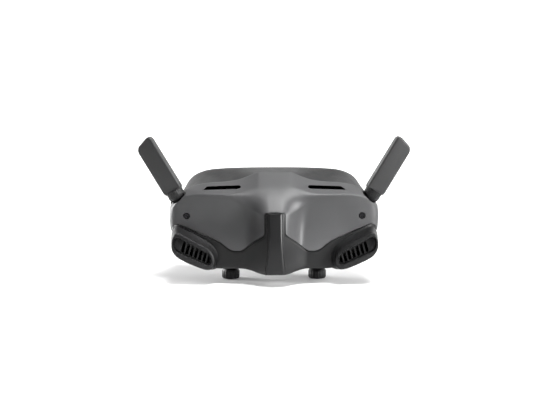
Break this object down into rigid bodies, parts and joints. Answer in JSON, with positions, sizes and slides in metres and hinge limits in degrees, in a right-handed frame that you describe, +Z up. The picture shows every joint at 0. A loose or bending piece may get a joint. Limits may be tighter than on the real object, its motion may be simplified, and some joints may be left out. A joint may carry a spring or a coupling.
{
  "type": "fpv goggles",
  "caption": "Compact head-worn video goggles with folding antennas, sliding focusing eyepieces, vent cowls and a foam face seal.",
  "frame": {"origin": "middle of the width and depth, level with the feet of the two knobs", "axes": "+X the wearer's left, +Y towards the wearer's face, +Z up"},
  "size_m": [0.2162, 0.1041, 0.1158],
  "materials": {
    "cover_plastic": "fine satin texture",
    "trim_plastic": "satin",
    "black_plastic": "satin",
    "gloss_black": "gloss",
    "guard_rubber": "matte",
    "seal_foam": "cloth-faced soft foam",
    "steel": "satin",
    "aluminium": "bare",
    "board": "solder mask",
    "lens_glass": "clear"
  },
  "bodies": {
    "housing": {"front_cover": "cover_plastic", "lower_shroud": "trim_plastic", "nose_strip": "black_plastic", "rear_frame": "trim_plastic", "face_foam": "seal_foam", "face_plate": "black_plastic", "proximity_window": "gloss_black", "touch_pad": "gloss_black", "card_socket": "steel", "power_port": "steel", "audio_jack": "steel", "chassis": "aluminium", "guide_rod_upper": "steel", "main_board": "board", "heat_sink": "aluminium", "guide_rod_lower_left": "steel", "guide_rod_lower_right": "steel", "vent_grille_left": "black_plastic", "vent_grille_right": "black_plastic", "front_screw_left": "steel", "front_screw_right": "steel", "strap_lug_left": "trim_plastic", "strap_lug_right": "trim_plastic", "fan_housing_left": "black_plastic", "fan_housing_right": "black_plastic", "antenna_pin_left": "steel", "antenna_pin_right": "steel", "antenna_socket_left": "black_plastic", "antenna_socket_right": "black_plastic"},
    "antenna_left": {"antenna_left": "trim_plastic"},
    "carriage_left": {"lens_barrel_left": "black_plastic", "display_panel_left": "gloss_black", "eyepiece_guard_left": "guard_rubber"},
    "sleeve_left": {"detent_sleeve_left": "black_plastic"},
    "knob_left": {"focus_knob_left": "black_plastic"},
    "focus_left": {"lens_cell_left": "black_plastic", "eyepiece_lens_left": "lens_glass"},
    "fan_left": {"fan_rotor_left": "black_plastic"},
    "antenna_right": {"antenna_right": "trim_plastic"},
    "carriage_right": {"lens_barrel_right": "black_plastic", "display_panel_right": "gloss_black", "eyepiece_guard_right": "guard_rubber"},
    "sleeve_right": {"detent_sleeve_right": "black_plastic"},
    "knob_right": {"focus_knob_right": "black_plastic"},
    "focus_right": {"lens_cell_right": "black_plastic", "eyepiece_lens_right": "lens_glass"},
    "fan_right": {"fan_rotor_right": "black_plastic"},
    "back_button": {"back_button": "black_plastic"},
    "link_button": {"link_button": "black_plastic"}
  },
  "joints": [
    {"name": "antenna_fold_left", "type": "hinge", "parent": "housing", "child": "antenna_left", "pos_m": [0.0786, -0.0155, 0.0703], "axis": [0, -0.8, 0.6], "range_deg": [0, 110]},
    {"name": "eye_spacing_left", "type": "slide", "parent": "housing", "child": "carriage_left", "axis": [1, 0, 0], "range_m": [-0.007, 0.001]},
    {"name": "knob_press_left", "type": "slide", "parent": "carriage_left", "child": "sleeve_left", "axis": [0, 0, 1], "range_m": [0, 0.003]},
    {"name": "knob_turn_left", "type": "hinge", "parent": "sleeve_left", "child": "knob_left", "pos_m": [0.035, -0.005, 0], "axis": [0, 0, 1], "range_deg": [-50, 50]},
    {"name": "focus_slide_left", "type": "slide", "parent": "carriage_left", "child": "focus_left", "axis": [0, 1, 0], "range_m": [-0.00218, 0.00218]},
    {"name": "fan_spin_left", "type": "hinge", "parent": "housing", "child": "fan_left", "pos_m": [0.0626, -0.022, 0.027], "axis": [0, 1, 0], "continuous": true},
    {"name": "antenna_fold_right", "type": "hinge", "parent": "housing", "child": "antenna_right", "pos_m": [-0.0786, -0.0155, 0.0703], "axis": [0, 0.8, -0.6], "range_deg": [0, 110]},
    {"name": "eye_spacing_right", "type": "slide", "parent": "housing", "child": "carriage_right", "axis": [-1, 0, 0], "range_m": [-0.007, 0.001]},
    {"name": "knob_press_right", "type": "slide", "parent": "carriage_right", "child": "sleeve_right", "axis": [0, 0, 1], "range_m": [0, 0.003]},
    {"name": "knob_turn_right", "type": "hinge", "parent": "sleeve_right", "child": "knob_right", "pos_m": [-0.035, -0.005, 0], "axis": [0, 0, -1], "range_deg": [-50, 50]},
    {"name": "focus_slide_right", "type": "slide", "parent": "carriage_right", "child": "focus_right", "axis": [0, 1, 0], "range_m": [-0.00218, 0.00218]},
    {"name": "fan_spin_right", "type": "hinge", "parent": "housing", "child": "fan_right", "pos_m": [-0.0626, -0.022, 0.027], "axis": [0, 1, 0], "continuous": true},
    {"name": "back_press", "type": "slide", "parent": "housing", "child": "back_button", "axis": [0, 0, 1], "range_m": [0, 0.001], "stiffness_N_per_m": 800},
    {"name": "link_press", "type": "slide", "parent": "housing", "child": "link_button", "axis": [0, 0, 1], "range_m": [0, 0.001], "stiffness_N_per_m": 800}
  ],
  "couplings": [
    {"joint": "knob_turn_left", "follows": "focus_slide_left", "rad_per_m": 400},
    {"joint": "knob_turn_right", "follows": "focus_slide_right", "rad_per_m": 400}
  ]
}
